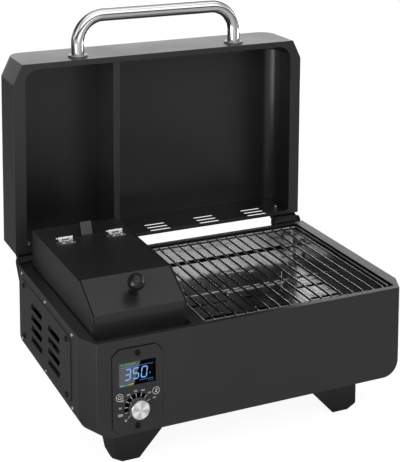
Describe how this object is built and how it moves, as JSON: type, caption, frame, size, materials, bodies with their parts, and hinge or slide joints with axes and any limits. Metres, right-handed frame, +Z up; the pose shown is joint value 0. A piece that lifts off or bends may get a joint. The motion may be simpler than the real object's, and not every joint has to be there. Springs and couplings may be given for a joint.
{
  "type": "pellet smoker grill",
  "caption": "Tabletop wood pellet smoker grill with a hinged lid, pellet hopper with its own lid, wire grate, auger feed, fire pot and a front control panel.",
  "frame": {"origin": "centre of the tub's flat underside, 70 mm above the ground the feet stand on", "axes": "+X to the grill's right as the cook faces it, +Y to the back where the lid hinges are, +Z up; the lid stands open at rest"},
  "size_m": [0.5287, 0.4361, 0.6132],
  "materials": {
    "black_coat": "satin black powder coat",
    "black_fastener": "black oxide",
    "bright_fastener": "bright zinc",
    "liner_steel": "rolled stainless sheet",
    "grate_wire": "plated wire",
    "handle_steel": "brushed stainless tube",
    "plain_steel": "mill finish",
    "dial_aluminium": "turned",
    "black_plastic": "moulded",
    "knob_plastic": "polished phenolic",
    "lens": "smoked",
    "rubber": "moulded",
    "circuit_board": "solder mask"
  },
  "bodies": {
    "tub": {"auger_motor": "plain_steel", "auger_tube": "plain_steel", "board_standoffs": "circuit_board", "body_shell": "black_coat", "button_switches": "black_plastic", "compartment_deck": "black_coat", "control_panel": "black_coat", "control_panel_screws": "black_fastener", "controller_board": "circuit_board", "cooking_grate": "grate_wire", "display_lens": "lens", "display_module": "black_plastic", "drip_tray": "liner_steel", "fan_housing": "black_plastic", "fire_pot": "plain_steel", "firebox_liner": "liner_steel", "foot_pads": "rubber", "foot_screws": "black_fastener", "front_left_foot": "black_coat", "front_right_foot": "black_coat", "hinge_bracket_screws": "black_fastener", "hopper_box": "black_coat", "hopper_hinge_fixed_leaves": "bright_fastener", "hopper_hinge_pins": "bright_fastener", "hopper_lid_stop": "black_coat", "igniter": "plain_steel", "knob_encoder": "black_plastic", "lid_hinge_brackets": "black_coat", "lid_hinge_pins": "black_fastener", "partition": "black_coat", "power_inlet": "black_plastic", "rear_left_foot": "black_coat", "rear_right_foot": "black_coat", "sensor_bracket": "black_coat", "side_frame": "black_coat", "side_frame_screws": "bright_fastener", "temperature_sensor": "plain_steel", "vent_cover": "black_coat", "vent_cover_screws": "black_fastener", "wiring": "rubber"},
    "lid": {"lid_shell": "black_coat", "lid_divider": "black_coat", "lid_handle": "handle_steel", "handle_flanges": "handle_steel", "handle_screws": "bright_fastener", "lid_hinge_leaves": "black_coat", "lid_hinge_bolts": "bright_fastener", "lid_hinge_nuts": "bright_fastener"},
    "hopper_lid": {"hopper_lid": "black_coat", "hopper_lid_knob": "knob_plastic", "hopper_hinge_moving_leaves": "bright_fastener", "hopper_hinge_rivets": "bright_fastener"},
    "dial": {"temperature_knob": "dial_aluminium", "knob_shaft": "plain_steel"},
    "left_button": {"left_button": "black_plastic"},
    "right_button": {"right_button": "black_plastic"},
    "flame_slide": {"flame_slide": "liner_steel"},
    "auger": {"auger_screw": "plain_steel"},
    "fan": {"fan_impeller": "black_plastic"}
  },
  "joints": [
    {"name": "lid_hinge", "type": "hinge", "parent": "tub", "child": "lid", "pos_m": [0, 0.1695, 0.1389], "axis": [-1, 0, 0], "range_deg": [-89.4, 2.6]},
    {"name": "hopper_lid_hinge", "type": "hinge", "parent": "tub", "child": "hopper_lid", "pos_m": [-0.17, 0.0863, 0.2028], "axis": [-1, 0, 0], "range_deg": [0, 135]},
    {"name": "dial_turn", "type": "hinge", "parent": "tub", "child": "dial", "pos_m": [-0.18725, -0.16, 0.0405], "axis": [0, 1, 0], "range_deg": [-135, 135]},
    {"name": "left_button_press", "type": "slide", "parent": "tub", "child": "left_button", "axis": [0, 1, 0], "range_m": [0, 0.001], "stiffness_N_per_m": 800},
    {"name": "right_button_press", "type": "slide", "parent": "tub", "child": "right_button", "axis": [0, 1, 0], "range_m": [0, 0.001], "stiffness_N_per_m": 800},
    {"name": "flame_slide_travel", "type": "slide", "parent": "tub", "child": "flame_slide", "axis": [1, 0, 0], "range_m": [0, 0.05]},
    {"name": "auger_turn", "type": "hinge", "parent": "tub", "child": "auger", "pos_m": [-0.17, 0.02, 0.049], "axis": [1, 0, 0], "continuous": true},
    {"name": "fan_spin", "type": "hinge", "parent": "tub", "child": "fan", "pos_m": [-0.106, 0.095, 0.045], "axis": [1, 0, 0], "continuous": true}
  ]
}
